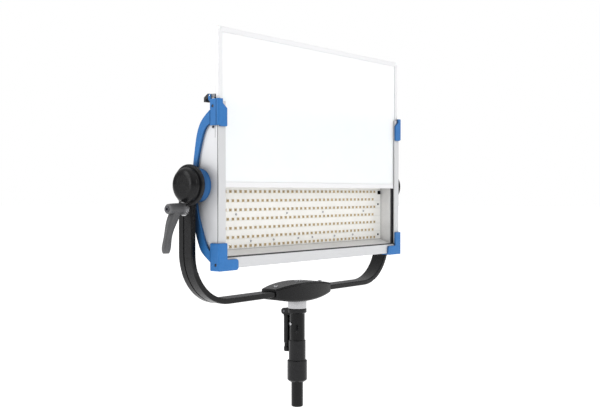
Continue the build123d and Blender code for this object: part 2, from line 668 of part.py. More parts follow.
def yoke_path(offset):
    """The U of the bar in X and Z, offset inwards from its outer face."""
    x, bottom, radius = YOKE_IN + BAR_T - offset, BAR_BOTTOM + offset, BEND_R - offset
    bend = sqrt(0.5) * radius
    return [
        Line((-x, ARM_TOP), (-x, bottom + radius)),
        ThreePointArc((-x, bottom + radius), (-x + radius - bend, bottom + radius - bend), (-x + radius, bottom)),
        Line((-x + radius, bottom), (x - radius, bottom)),
        ThreePointArc((x - radius, bottom), (x - radius + bend, bottom + radius - bend), (x, bottom + radius)),
        Line((x, bottom + radius), (x, ARM_TOP)),
    ]


def bar_slab(outer, inner, half_width):
    """A U of flat bar between two offsets of the outer face."""
    x_out, x_in = YOKE_IN + BAR_T - outer, YOKE_IN + BAR_T - inner
    ends = [Line((-x_out, ARM_TOP), (-x_in, ARM_TOP)), Line((x_out, ARM_TOP), (x_in, ARM_TOP))]
    face = Plane.XZ * make_face(yoke_path(outer) + yoke_path(inner) + ends)
    return Pos(0, half_width, 0) * extrude(face, 2 * half_width)


GROOVE_Y = 3.2
GROOVE_W = 3.6
GROOVE_DEPTH = 1.5


def make_yoke_bar():
    """Flat bar with rounded long edges and one groove along its outer face."""
    bar = bar_slab(0, BAR_T, BAR_W / 2)
    rims = [edge for edge in bar.edges() if abs(edge.center().Y) > BAR_W / 2 - 0.1]
    bar = fillet([edge for edge in rims if edge.center().Z < ARM_TOP - 0.1], BAR_EDGE_R)
    bar -= Pos(0, GROOVE_Y, 0) * bar_slab(-1, GROOVE_DEPTH, GROOVE_W / 2)
    for side in (-1, 1):
        eye = rod_x(SHAFT_R + 9, side * YOKE_IN, side * (YOKE_IN + BAR_T), TILT_Y, 0)
        bar += eye
        bar -= rod_x(SHAFT_R + 3, side * 300, side * 400, TILT_Y, 0)
    bar -= rod_x(6.0, -400, -340, 0, LEVER_Z)
    bar -= rod_z(6.5, BAR_BOTTOM - 5, BAR_BOTTOM + 30)
    save("yoke_bar", bar)


def domed_cap(out):
    """A hollow cap with a rounded shoulder and a flat middle, from the disc's face to -out."""
    x0, x1 = -DISC_OUT, -out
    flat = CAP_R / 2
    middle = ((x0 + 2 * x1) / 3, (2 * CAP_R + flat) / 3 + 3.5)
    shoulder = Spline((x0, CAP_R), middle, (x1, flat), tangents=((-1, 0), (0, -1)))
    sides = Polyline((x1, flat), (x1, 0), (x0, 0), (x0, CAP_R))
    cap = Pos(0, TILT_Y, 0) * revolve(make_face(shoulder.edges() + sides.edges()), Axis.X)
    return cap - rod_x(CAP_R / 2, x0 + 1, x1 + 3, TILT_Y, 0)


def make_tilt_discs():
    """Rimmed discs that wrap the arm ends, and the domed caps over the pivot nuts."""
    disc = turned_x([(-DISC_IN, 0), (-DISC_IN, DISC_R - 2), (-DISC_IN - 1.5, DISC_R),
                     (-DISC_OUT + 1.5, DISC_R), (-DISC_OUT, DISC_R - 1.5), (-DISC_OUT, 0)], TILT_Y, 0)
    disc -= block(-DISC_IN + 1, -YOKE_IN - BAR_T, -BAR_W / 2, BAR_W / 2, -100, ARM_TOP)
    disc -= rod_x(15.5, -400, -340, 0, LEVER_Z)
    disc -= rod_x(SHAFT_R + 9, -DISC_IN + 1, -YOKE_IN - BAR_T, TILT_Y, 0)
    disc -= rod_x(SHAFT_R + 8, -400, -300, TILT_Y, 0)
    save_pair("tilt_discs", disc)
    caps = [mirrored(domed_cap(out), side) for side, out in ((-1, CAP_OUT), (1, CAP_OUT_RIGHT))]
    save("tilt_caps", Compound(children=[cap.solids()[0] for cap in caps]))


LENS_TOP_END = -240.0
LENS_TOP_MID = -230.0
LENS_LOW_END = -265.0
LENS_LOW_MID = -276.0
LENS_END_DEPTH = 23.0
LENS_EDGE_R = 5.0


def lens_block(half):
    """The clamp's lens shape: bowed in front view and in plan."""
    front = [
        ThreePointArc((-half, LENS_TOP_END), (0, LENS_TOP_MID), (half, LENS_TOP_END)),
        Line((half, LENS_TOP_END), (half, LENS_LOW_END)),
        ThreePointArc((half, LENS_LOW_END), (0, LENS_LOW_MID), (-half, LENS_LOW_END)),
        Line((-half, LENS_LOW_END), (-half, LENS_TOP_END)),
    ]
    plan = [
        ThreePointArc((-half, LENS_END_DEPTH), (0, CLAMP_DEPTH), (half, LENS_END_DEPTH)),
        Line((half, LENS_END_DEPTH), (half, -LENS_END_DEPTH)),
        ThreePointArc((half, -LENS_END_DEPTH), (0, -CLAMP_DEPTH), (-half, -LENS_END_DEPTH)),
        Line((-half, -LENS_END_DEPTH), (-half, LENS_END_DEPTH)),
    ]
    upright = Pos(0, 80, 0) * extrude(Plane.XZ * make_face(front), 160)
    flat = Pos(0, 0, -400) * extrude(Plane.XY * make_face(plan), 300)
    return upright & flat


TOP_PLATE_HALF = 92.0
TOP_PLATE_Y = 12.0


def make_clamp():
    """Front and rear shells that grip the bar, the plate across their top and its screws."""
    lens = lens_block(CLAMP_HALF)
    long_edges = [edge for edge in lens.edges() if edge.length > CLAMP_HALF]
    lens = fillet(long_edges, LENS_EDGE_R)
    lens -= block(-200, 200, -BAR_W / 2, BAR_W / 2, BAR_BOTTOM, BAR_BOTTOM + BAR_T)
    lens -= rod_z(COLLAR_R, -300, BAR_BOTTOM)
    nut_room = rod_z(14, BAR_BOTTOM + BAR_T, BAR_BOTTOM + BAR_T + 10)
    seat = block(-TOP_PLATE_HALF, TOP_PLATE_HALF, -TOP_PLATE_Y, TOP_PLATE_Y, LENS_TOP_END - 2, -200)
    plate = lens_block(CLAMP_HALF) & seat
    plate -= nut_room
    lens -= seat
    lens -= nut_room
    save("clamp_shell_front", lens & block(-200, 200, -100, 0, -400, 0))
    save("clamp_shell_rear", lens & block(-200, 200, 0, 100, -400, 0))
    screws = []
    for x in (-84, -9, 9, 84):
        sag = (LENS_TOP_MID - LENS_TOP_END) * (x / CLAMP_HALF) ** 2
        seat_z = LENS_TOP_MID - sag - 0.8
        plate -= rod_z(5.5, seat_z, seat_z + 5, x, -4)
        screws.append(Pos(x, -4, seat_z) * pan_screw(5.2, 3.6, 2.4))
    save("clamp_top_plate", plate)
    save("clamp_screws", Compound(children=screws))


def make_spigot():
    """The turned spigot: a collar under the clamp and a shank that turns in the socket."""
    shank_end = SOCKET_TOP - SPIGOT_LENGTH
    collar_low = SOCKET_TOP + GAP
    groove = (CLAMP_SCREW_Z + 7, CLAMP_SCREW_Z - 7)
    spigot = turned_z([
        (0, BAR_BOTTOM), (COLLAR_R, BAR_BOTTOM), (COLLAR_R, collar_low + 1), (COLLAR_R - 1, collar_low),
        (SPIGOT_R, collar_low), (SPIGOT_R, groove[0]), (SPIGOT_R - 1.5, groove[0] - 1.5),
        (SPIGOT_R - 1.5, groove[1] + 1.5), (SPIGOT_R, groove[1]), (SPIGOT_R, shank_end + 2),
        (SPIGOT_R - 2, shank_end), (0, shank_end),
    ])
    spigot += rod_z(6.5, BAR_BOTTOM, BAR_BOTTOM + BAR_T + 9)
    save("yoke_spigot", spigot)
    nut_low = BAR_BOTTOM + BAR_T
    nut = Pos(0, 0, nut_low) * extrude(RegularPolygon(12, 6), 8)
    save("spigot_nut", nut - rod_z(6.5, nut_low - 1, nut_low + 20))


# ---------------------------------------------------------------- tilt lock lever

WASHER_OUT = YOKE_IN + BAR_T + 3
LEVER_HUB_END = 422.0
INSERT_R = 6.5


def make_lever():
    """A ratchet lever: the insert turns the clamping stud, and the handle lifts off its teeth."""
    face_x = -(YOKE_IN + BAR_T)
    washer = rod_x(15, face_x, -WASHER_OUT, 0, LEVER_Z)
    washer -= rod_x(6.0, -400, -340, 0, LEVER_Z)
    save("lever_washer", washer)
    stud = rod_x(6.0 - RUNNING, -YOKE_IN + 0.5, -WASHER_OUT, 0, LEVER_Z)
    insert_end = -LEVER_HUB_END + 6
    stud += rod_x(INSERT_R, -WASHER_OUT - GAP, insert_end, 0, LEVER_Z)
    stud += rod_x(11.5, -WASHER_OUT - GAP, -WASHER_OUT - GAP - 3, 0, LEVER_Z)
    stud += rod_x(6.0 - RUNNING, -WASHER_OUT, -WASHER_OUT - 1, 0, LEVER_Z)
    save("lever_insert", stud)
    near = -WASHER_OUT - GAP - 3.5
    hub = turned_x([(near, 0), (near, 12.5), (-LEVER_HUB_END + 10, 11.5), (-LEVER_HUB_END + 2, 10.5),
                    (-LEVER_HUB_END, 9), (-LEVER_HUB_END, 0)], 0, LEVER_Z)
    sections = [
        (LEVER_Z - 1, -397.0, 27.0, 22.0), (LEVER_Z - 15, -404.0, 25.0, 21.0),
        (LEVER_Z - 38, -414.5, 20.5, 17.5), (LEVER_Z - 66, -422.5, 18.0, 15.0),
        (LEVER_Z - 84, -425.5, 18.0, 15.0), (LEVER_Z - 91, -426.0, 13.0, 10.0),
    ]
    rings = [Pos(x, 0, z) * RectangleRounded(w, t, min(w, t) * 0.45) for z, x, w, t in sections]
    handle = loft([Plane.XY * ring for ring in rings])
    handle = hub + handle
    handle -= rod_x(INSERT_R + RUNNING, near + 1, -LEVER_HUB_END - 1, 0, LEVER_Z)
    cap_x = -LEVER_HUB_END
    save("lever_handle", handle)
    screw = rod_x(INSERT_R - 0.5, insert_end - GAP, cap_x - 1, 0, LEVER_Z)
    screw -= Pos(cap_x - 4, 0, LEVER_Z) * Rot(0, 90, 0) * extrude(RegularPolygon(3.2, 6), 6)
    save("lever_cap_screw", screw)


# ---------------------------------------------------------------- stand adapter

STEP_Z = -372.0


def polar(angle, radius):
    return radius * cos(radians(angle)), radius * sin(radians(angle))


def make_socket():
    """The 28 mm receiver: flange, barrel, ears for the fold-down pin and a boss for the clamp screw."""
    body = turned_z([
        (0, SOCKET_TOP), (FLANGE_R - 1, SOCKET_TOP), (FLANGE_R, SOCKET_TOP - 1), (FLANGE_R, SOCKET_TOP - 9),
        (GRIP_R, SOCKET_TOP - 12), (GRIP_R, STEP_Z), (BARREL_R, STEP_Z - 1),
        (BARREL_R, BARREL_BOTTOM), (0, BARREL_BOTTOM),
    ])
    x, y = polar(219, GRIP_R)
    shield = [(-8, 24), (8, 24), (8, -12), (0, -25), (-8, -12)]
    pad = extrude(Plane.XY * make_face(Polyline(*shield, shield[0])), 5)
    body += Pos(x, y, CLAMP_SCREW_Z) * Rot(0, 0, 219) * Rot(90, 0, 90) * Pos(0, 0, -2.5) * pad
    boss = Rot(0, 0, CLAMP_SCREW_TURN) * rod_x(10, 10, BARREL_R + 7, 0, CLAMP_SCREW_Z)
    body += boss
    for side in (-1, 1):
        ear = block(side * 9, side * 13, GRIP_R - 6, FOLD_Y, FOLD_Z - 8, SOCKET_TOP)
        ear += rod_x(8, side * 9, side * 13, FOLD_Y, FOLD_Z)
        body += ear
    side_x, side_y = polar(164, GRIP_R - 0.7)
    side_turn = Pos(side_x, side_y, -332) * Rot(0, 0, 164) * Rot(0, 90, 0)
    body -= side_turn * Pos(0, 0, 5) * Cylinder(5, 10)
    bore_end = SOCKET_TOP - SPIGOT_LENGTH - 5
    body -= rod_z(SPIGOT_R + RUNNING, SOCKET_TOP + 1, bore_end)
    body -= rod_x(3, -20, 20, FOLD_Y, FOLD_Z)
    body -= Rot(0, 0, CLAMP_SCREW_TURN) * rod_x(5 + RUNNING, 5, 60, 0, CLAMP_SCREW_Z)
    body -= rod_z(8, BARREL_BOTTOM - 1, BARREL_BOTTOM + 24)
    save("socket_body", body)
    save("fold_hinge_pin", rod_x(3, -13, 13, FOLD_Y, FOLD_Z))
    save("socket_side_screw", pan_screw(4.0, 3.0, 2.0, side_turn))


ROOT_R = 16.0


def make_tail():
    """The tail pin, with a thicker root held in the ring under the barrel."""
    ring_low = -AXIS_HEIGHT
    ring = turned_z([
        (ROOT_R, BARREL_BOTTOM), (RING_R - 1.5, BARREL_BOTTOM), (RING_R, BARREL_BOTTOM - 1.5),
        (RING_R, ring_low + 4), (RING_R - 4, ring_low), (ROOT_R, ring_low),
    ])
    save("socket_ring", ring)
    wall_end = ring_low - TAIL_LENGTH
    end = wall_end - 1.5
    pin = turned_z([
        (0, BARREL_BOTTOM), (ROOT_R, BARREL_BOTTOM), (ROOT_R, ring_low), (SPIGOT_R, ring_low),
        (SPIGOT_R, wall_end), (SPIGOT_R - 1.5, end), (0, end),
    ])
    pin += rod_z(8, BARREL_BOTTOM, BARREL_BOTTOM + 22)
    save("tail_pin", pin)


def make_fold_pin():
    """A 16 mm pin that hangs beside the socket and folds out to the rear."""
    eye = rod_x(7.5, -9 + GAP, 9 - GAP, FOLD_Y, FOLD_Z)
    eye += block(-7, 7, FOLD_Y - 5, FOLD_Y + 5, FOLD_Z - 14, FOLD_Z)
    low = FOLD_Z - FOLD_LENGTH
    stem = turned_z([
        (0, FOLD_Z - 10), (STUD_R, FOLD_Z - 10), (STUD_R, low + 22), (STUD_R - 1.5, low + 20),
        (STUD_R - 1.5, low + 12), (STUD_R, low + 10), (STUD_R, low + 1.5), (STUD_R - 1.5, low), (0, low),
    ])
    pin = eye + Pos(0, FOLD_Y, 0) * stem - rod_x(3 + RUNNING, -20, 20, FOLD_Y, FOLD_Z)
    save("fold_pin", pin)


def make_clamp_screw():
    """The T-handle screw that grips the spigot through the socket's wall."""
    tip, head = SPIGOT_R - 1.5 + 0.6, BARREL_R + 26
    turn = Rot(0, 0, CLAMP_SCREW_TURN)
    screw = rod_x(5, tip, head, 0, CLAMP_SCREW_Z) + rod_x(7, head - 12, head, 0, CLAMP_SCREW_Z)
    bar = rod_z(3, CLAMP_SCREW_Z - 17, CLAMP_SCREW_Z + 17, head - 6)
    bar = fillet(bar.edges().filter_by(GeomType.CIRCLE), 1.2)
    save("clamp_screw", turn * (screw + bar))


# ---------------------------------------------------------------- all pieces

make_front_frame()
make_side_plates()
make_rails()
make_rear_cover()
make_light_box()
make_led_board()
make_heat_sink()
make_lower_brackets()
make_upper_brackets()
make_latches()
make_bows()
make_pivots()
make_head_screws()
make_diffuser()
make_electronics_box()
make_rear_lid()
make_control_panel()
make_encoder_knob()
make_sockets()
make_rocker()
make_inside_pieces()
make_yoke_bar()
make_tilt_discs()
make_clamp()
make_spigot()
make_lever()
make_socket()
make_tail()
make_fold_pin()
make_clamp_screw()
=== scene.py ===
import json
from math import cos, radians, sin

import bmesh
import bpy
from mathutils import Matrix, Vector


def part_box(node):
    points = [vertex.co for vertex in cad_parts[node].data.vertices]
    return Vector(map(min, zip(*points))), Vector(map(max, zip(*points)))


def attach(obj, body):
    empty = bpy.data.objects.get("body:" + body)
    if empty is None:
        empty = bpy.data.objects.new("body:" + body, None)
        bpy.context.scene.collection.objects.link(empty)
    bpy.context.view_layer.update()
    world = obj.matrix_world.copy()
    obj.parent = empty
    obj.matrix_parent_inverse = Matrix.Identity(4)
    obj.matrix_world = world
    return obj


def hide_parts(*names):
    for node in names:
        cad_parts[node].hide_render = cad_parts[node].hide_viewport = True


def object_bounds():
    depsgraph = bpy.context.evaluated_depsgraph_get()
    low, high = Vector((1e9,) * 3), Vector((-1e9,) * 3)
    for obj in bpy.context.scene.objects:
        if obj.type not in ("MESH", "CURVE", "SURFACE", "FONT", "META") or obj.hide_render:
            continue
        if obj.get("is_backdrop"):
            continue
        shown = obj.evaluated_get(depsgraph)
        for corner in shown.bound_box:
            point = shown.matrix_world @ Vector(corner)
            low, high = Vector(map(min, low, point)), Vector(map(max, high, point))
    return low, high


MM = 0.001
AXIS_Z = 0.472          # height of the tilt axis
FRONT_Y = -0.070        # the head's front face at rest

# diodes, in mm: staggered rows, each package a frame with a sunk pocket
DIODE_ROWS = 14
DIODE_COLUMNS = 37      # in the longer rows; every other row has one fewer
DIODE_PITCH_X = 16.33
DIODE_PITCH_Z = 20.0

FLOOR_REACH = 60.0      # half the floor's side
FLOOR_DROP = 0.55       # the floor below the foot of the adapter

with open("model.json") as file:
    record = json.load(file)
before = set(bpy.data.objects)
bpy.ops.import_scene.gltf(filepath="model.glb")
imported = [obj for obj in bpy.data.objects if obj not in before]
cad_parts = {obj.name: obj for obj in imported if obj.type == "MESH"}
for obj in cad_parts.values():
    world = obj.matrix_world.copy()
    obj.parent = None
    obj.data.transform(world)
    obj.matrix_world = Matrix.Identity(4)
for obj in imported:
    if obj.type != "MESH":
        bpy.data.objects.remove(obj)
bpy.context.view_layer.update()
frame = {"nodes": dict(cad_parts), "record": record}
NODES = frame["nodes"]
scene = bpy.context.scene


# ------------------------------------------------------------------ materials

class Shader:
    """A node tree with a few short ways to build a layered, procedural finish."""

    def __init__(self, name):
        self.material = bpy.data.materials.new(name)
        self.material.use_nodes = True
        self.tree = self.material.node_tree
        self.bsdf = self.tree.nodes["Principled BSDF"]
        self.coords = self.tree.nodes.new("ShaderNodeTexCoord").outputs["Object"]

    def node(self, kind, **values):
        made = self.tree.nodes.new(kind)
        for key, value in values.items():
            setattr(made, key, value)
        return made

    def link(self, a, b):
        self.tree.links.new(a, b)

    def noise(self, scale, detail=4.0, rough=0.55, stretch=None):
        tex = self.node("ShaderNodeTexNoise")
        tex.inputs["Scale"].default_value = scale
        tex.inputs["Detail"].default_value = detail
        tex.inputs["Roughness"].default_value = rough
        self.link(self.stretched(stretch), tex.inputs["Vector"])
        return tex.outputs["Fac"]

    def stretched(self, stretch):
        if not stretch:
            return self.coords
        mapping = self.node("ShaderNodeMapping")
        mapping.inputs["Scale"].default_value = stretch
        self.link(self.coords, mapping.inputs["Vector"])
        return mapping.outputs["Vector"]

    def ramp(self, source, *stops):
        """Stops are (position, colour or grey)."""
        ramp = self.node("ShaderNodeValToRGB")
        points = ramp.color_ramp.elements
        while len(points) < len(stops):
            points.new(0.5)
        for point, (position, value) in zip(points, stops):
            point.position = position
            point.color = (*value, 1) if hasattr(value, "__len__") else (value, value, value, 1)
        self.link(source, ramp.inputs["Fac"])
        return ramp.outputs["Color"]

    def mix(self, fac, a, b, blend="MIX"):
        mix = self.node("ShaderNodeMix", data_type="RGBA", blend_type=blend)
        for socket, value in ((mix.inputs[0], fac), (mix.inputs[6], a), (mix.inputs[7], b)):
            if isinstance(value, bpy.types.NodeSocket):
                self.link(value, socket)
            elif hasattr(value, "__len__"):
                socket.default_value = (*value, 1)
            elif socket == mix.inputs[0]:
                socket.default_value = value
            else:
                socket.default_value = (value, value, value, 1)
        return mix.outputs[2]

    def edges(self, spread=0.5):
        """White on convex edges, from the mesh's own shape."""
        geometry = self.node("ShaderNodeNewGeometry")
        low, high = 0.5 + 0.02 * spread, 0.5 + 0.09 * spread
        return self.ramp(geometry.outputs["Pointiness"], (low, 0.0), (high, 1.0))

    def painted_crevice_shade(self, reach, darkest):
        """Painted shade: darker where surfaces close in on each other, from the shape around the point."""
        around = self.node("ShaderNodeAmbientOcclusion", samples=8)
        around.inputs["Distance"].default_value = reach
        return self.ramp(around.outputs["AO"], (0.25, darkest), (0.85, 1.0))

    def band(self, axis, low, high):
        """White between two values of one object axis, in metres."""
        split = self.node("ShaderNodeSeparateXYZ")
        self.link(self.coords, split.inputs[0])
        inside = []
        for operation, limit in (("GREATER_THAN", low), ("LESS_THAN", high)):
            test = self.node("ShaderNodeMath", operation=operation)
            self.link(split.outputs[axis], test.inputs[0])
            test.inputs[1].default_value = limit
            inside.append(test.outputs[0])
        both = self.node("ShaderNodeMath", operation="MULTIPLY")
        self.link(inside[0], both.inputs[0])
        self.link(inside[1], both.inputs[1])
        return both.outputs[0]

    def bump(self, height, strength, distance, below=None):
        bump = self.node("ShaderNodeBump")
        bump.inputs["Strength"].default_value = strength
        bump.inputs["Distance"].default_value = distance
        self.link(height, bump.inputs["Height"])
        if below:
            self.link(below, bump.inputs["Normal"])
        return bump.outputs["Normal"]

    def rounded(self, radius):
        bevel = self.node("ShaderNodeBevel", samples=6)
        bevel.inputs["Radius"].default_value = radius
        return bevel.outputs["Normal"]

    def set(self, **values):
        names = {"metallic": "Metallic", "rough": "Roughness", "specular": "Specular IOR Level",
                 "color": "Base Color", "normal": "Normal", "anisotropic": "Anisotropic",
                 "subsurface": "Subsurface Weight", "emission": "Emission Color",
                 "emission_strength": "Emission Strength"}
        for key, value in values.items():
            socket = self.bsdf.inputs[names[key]]
            if isinstance(value, bpy.types.NodeSocket):
                self.link(value, socket)
            elif hasattr(value, "__len__"):
                socket.default_value = (*value, 1)
            else:
                socket.default_value = value
        return self.material


def darker(color, k):
    return tuple(min(1.0, c * k) for c in color)


def paint(name, color, rough=0.38, grain=900, bump=0.12, wear=None, edge=0.0006, specular=0.5,
          painted_shade=0.35, reach=0.012, patch=None):
    """Powder coat or lacquer: faint blotches, orange peel, lighter rubbed edges, painted shade where
    surfaces close in on each other.
    """
    s = Shader(name)
    blotch = s.ramp(s.noise(14, 5), (0.32, darker(color, 0.88)), (0.68, darker(color, 1.08)))
    fine = s.ramp(s.noise(grain * 1.3, 2), (0.35, 0.86), (0.65, 1.0))
    tone = s.mix(1.0, blotch, fine, "MULTIPLY")
    rubbed = s.mix(0.65, s.edges(), s.noise(160, 3), "MULTIPLY")
    tone = s.mix(s.mix(0.5, rubbed, 0.0), tone, wear or darker(color, 1.7))
    # painted shade: darker in creases and between parts, from ambient occlusion
    tone = s.mix(1.0, tone, s.painted_crevice_shade(reach, painted_shade), "MULTIPLY")
    if patch:
        tone = s.mix(s.band(*patch[:3]), tone, patch[3])
    roughness = s.ramp(s.noise(60, 4), (0.3, rough - 0.06), (0.7, rough + 0.08))
    normal = s.bump(s.noise(grain, 2), bump, 0.0004, s.rounded(edge))
    return s.set(color=tone, rough=roughness, normal=normal, specular=specular)


def metal(name, color, rough=0.32, stretch=(1, 1, 1), scale=600, anisotropic=0.0, edge=0.0004, bump=0.1,
          metallic=1.0, painted_shade=0.5, reach=0.010, patch=None):
    """Bare or anodised metal with a fine directional grain, smears and slightly brighter edges."""
    s = Shader(name)
    grain = s.noise(scale, 3, 0.6, stretch)
    smear = s.noise(22, 4)
    tone = s.mix(1.0, s.ramp(grain, (0.3, darker(color, 0.90)), (0.7, darker(color, 1.06))),
                 s.ramp(smear, (0.35, 0.92), (0.65, 1.0)), "MULTIPLY")
    tone = s.mix(s.mix(0.35, s.edges(), 0.0), tone, darker(color, 1.25))
    # painted shade: darker in creases and between parts, from ambient occlusion
    tone = s.mix(1.0, tone, s.painted_crevice_shade(reach, painted_shade), "MULTIPLY")
    if patch:
        tone = s.mix(s.band(*patch[:3]), tone, patch[3])
    roughness = s.mix(0.5, s.ramp(grain, (0.3, rough - 0.07), (0.7, rough + 0.09)),
                      s.ramp(smear, (0.3, rough - 0.05), (0.7, rough + 0.10)))
    normal = s.bump(grain, bump, 0.0002, s.rounded(edge))
    return s.set(color=tone, metallic=metallic, rough=roughness, normal=normal, anisotropic=anisotropic)


def plastic(name, color, rough=0.5, grain=1500, bump=0.2, edge=0.0005, specular=0.4):
    """Moulded plastic with a spark-eroded grain, and polish where fingers reach the edges."""
    s = Shader(name)
    cells = s.node("ShaderNodeTexVoronoi")
    cells.inputs["Scale"].default_value = grain
    s.link(s.coords, cells.inputs["Vector"])
    tone = s.ramp(s.noise(30, 5), (0.3, darker(color, 0.85)), (0.7, darker(color, 1.2)))
    tone = s.mix(s.mix(0.5, s.edges(), 0.0), tone, darker(color, 2.2))
    roughness = s.ramp(s.noise(90, 3), (0.3, rough - 0.08), (0.7, rough + 0.08))
    normal = s.bump(cells.outputs["Distance"], bump, 0.00025, s.rounded(edge))
    return s.set(color=tone, rough=roughness, normal=normal, specular=specular)


def white_sheet(name):
    """Opal sheet: milky body with a slight satin skin, very faint mottling and dust."""
    s = Shader(name)
    tone = s.ramp(s.noise(7, 6), (0.3, (0.915, 0.917, 0.92)), (0.7, (0.94, 0.94, 0.94)))
    dust = s.ramp(s.noise(420, 2), (0.70, 0.0), (0.80, 0.35))
    tone = s.mix(dust, tone, (0.84, 0.84, 0.83))
    roughness = s.ramp(s.noise(45, 4), (0.3, 0.40), (0.7, 0.52))
    normal = s.bump(s.noise(1300, 2), 0.06, 0.0002, s.rounded(0.0004))
    return s.set(color=tone, rough=roughness, normal=normal, subsurface=0.08, specular=0.35)


def solder_mask(name, color, trace, pitch=0.02):
    """Printed board: lacquer over faint rows of tracks."""
    s = Shader(name)
    tracks = s.node("ShaderNodeTexWave", wave_type="BANDS", bands_direction="Z")
    tracks.inputs["Scale"].default_value = 0.5 / pitch * 0.62
    tracks.inputs["Distortion"].default_value = 0.0
    s.link(s.coords, tracks.inputs["Vector"])
    lines = s.ramp(tracks.outputs["Fac"], (0.93, 0.0), (0.96, 1.0))
    tone = s.ramp(s.noise(35, 4), (0.3, darker(color, 0.95)), (0.7, color))
    tone = s.mix(s.mix(0.5, lines, 0.0), tone, trace)
    roughness = s.ramp(s.noise(300, 3), (0.3, 0.38), (0.7, 0.55))
    normal = s.bump(s.noise(900, 2), 0.08, 0.0002, s.rounded(0.0003))
    return s.set(color=tone, rough=roughness, normal=normal)


BLUE = (0.014, 0.140, 0.430)
BLACK = (0.0045, 0.0045, 0.005)
# colour, roughness, grain stretch, grain scale, anisotropy, edge, bump, metallic, painted crevice shade
# (darkest), its reach
SILVER = ((0.66, 0.665, 0.68), 0.45, (1, 1, 30), 260, 0.0, 0.0006, 0.05, 0.25, 0.35, 0.03)
MATERIALS = {
    "housing_silver": metal("housing_silver", *SILVER),
    # guard_blue carries strong, wide painted shade, deepest around the tilt hub and where the bows meet
    # the side plates
    "guard_blue": paint("guard_blue", BLUE, 0.42, 1100, 0.10, (0.06, 0.26, 0.62), 0.0012, 0.28,
                        0.12, 0.035),
    "satin_black": paint("satin_black", BLACK, 0.25, 1400, 0.08, (0.03, 0.03, 0.032), 0.0012, 0.21, 0.25),
    "handle_grey": plastic("handle_grey", (0.085, 0.085, 0.088), 0.40, 1800, 0.12, 0.001, 0.5),
    "black_plastic": plastic("black_plastic", (0.022, 0.022, 0.024), 0.52),
    "grip_rubber": plastic("grip_rubber", (0.020, 0.020, 0.021), 0.72, 2300, 0.35, 0.0006, 0.25),
    "diffuser_white": white_sheet("diffuser_white"),
    "diffuser_rail": metal("diffuser_rail", (0.74, 0.74, 0.75), 0.40, (1, 1, 40), 300, bump=0.04,
                           metallic=0.2, painted_shade=0.35),
    "reflector_white": paint("reflector_white", (0.72, 0.72, 0.72), 0.50, 1500, 0.15,
                             (0.86, 0.86, 0.86), 0.0005),
    "board_white": solder_mask("board_white", (0.96, 0.95, 0.91), (0.78, 0.78, 0.74)),
    "led_phosphor": plastic("led_phosphor", (0.52, 0.36, 0.17), 0.45, 4000, 0.15, 0.0002),
    "machined_steel": metal("machined_steel", (0.56, 0.56, 0.57), 0.22, (1, 1, 60), 400, 0.4, bump=0.12),
    "dark_steel": metal("dark_steel", (0.10, 0.10, 0.11), 0.38, (1, 1, 1), 700),
    "screw_steel": metal("screw_steel", (0.52, 0.52, 0.53), 0.22, (1, 1, 1), 900),
    "plain_aluminium": metal("plain_aluminium", (0.66, 0.67, 0.68), 0.40, (1, 30, 1), 300),
    "display_black": plastic("display_black", (0.008, 0.010, 0.014), 0.12, 3000, 0.02, 0.0004, 0.6),
    "circuit_green": solder_mask("circuit_green", (0.018, 0.11, 0.045), (0.05, 0.20, 0.08), 0.004),
    "rocker_black": plastic("rocker_black", (0.014, 0.014, 0.015), 0.22, 2500, 0.05),
}

# finishes of one node each, with a second colour in a band: (axis, from, to, colour)
# painted shadow: a near-black line on the front frame along the aperture's lower edge, where the diffuser
# channel lies in shade
CHANNEL_SHADOW_LINE = (2, AXIS_Z - 0.1522, AXIS_Z - 0.1502, (0.02, 0.02, 0.02))
SEAM = (1, FRONT_Y + 0.0028, FRONT_Y + 0.0041, (0.10, 0.10, 0.11))
# painted shade: the light box's white flange inside the diffuser channel is coloured dark grey where it
# lies in shade
CHANNEL_PAINTED_SHADE = (1, FRONT_Y, FRONT_Y + 0.0132, (0.10, 0.10, 0.11))
LATCH_LEAF = (1, FRONT_Y, FRONT_Y + 0.0212, (0.30, 0.31, 0.33))
SENSOR = (0, 0.300, 0.330, (0.01, 0.01, 0.01))

SHADOW_LINED_SILVER = metal("silver_painted_shadow_line", (0.57, 0.575, 0.585), *SILVER[1:], CHANNEL_SHADOW_LINE)
SHADED_CHANNEL_WHITE = paint("white_painted_channel_shade", (0.76, 0.76, 0.76), 0.50, 1500, 0.15, (0.86, 0.86, 0.86), 0.0005, 0.4,
                     0.55, 0.012, CHANNEL_PAINTED_SHADE)
SEAMED = metal("seamed_silver", *SILVER, SEAM)
TWO_TONE = paint("two_tone_latch", BLACK, 0.40, 1400, 0.15, (0.05, 0.05, 0.052), 0.0009, 0.4, 0.3, 0.008,
                 LATCH_LEAF)
# painted shade towards the collar's junction with the yoke
TURNED = metal("turned_collar", (0.42, 0.42, 0.43), 0.24, (1, 1, 60), 400, 0.4, bump=0.12,
               painted_shade=0.25, reach=0.02)
MIXED_FITTINGS = metal("mixed_fittings", (0.52, 0.52, 0.53), 0.3, scale=900, patch=SENSOR)

SLOT_OF = {entry["node"]: entry["material_slot"] for entry in frame["record"]["subparts"]}


def dress(obj, *slots):
    obj.data.materials.clear()
    for slot in slots:
        obj.data.materials.append(MATERIALS[slot])


for name, node in NODES.items():
    dress(node, SLOT_OF[name])
for finish, names in ((SHADOW_LINED_SILVER, ("front_frame",)), (SEAMED, ("side_plates",)),
                      (SHADED_CHANNEL_WHITE, ("light_box",)),
                      (TWO_TONE, ("latch_left", "latch_right")), (MIXED_FITTINGS, ("board_fittings",)),
                      (TURNED, ("yoke_spigot",))):
    for name in names:
        NODES[name].data.materials.clear()
        NODES[name].data.materials.append(finish)


# ------------------------------------------------------------------ mesh tools

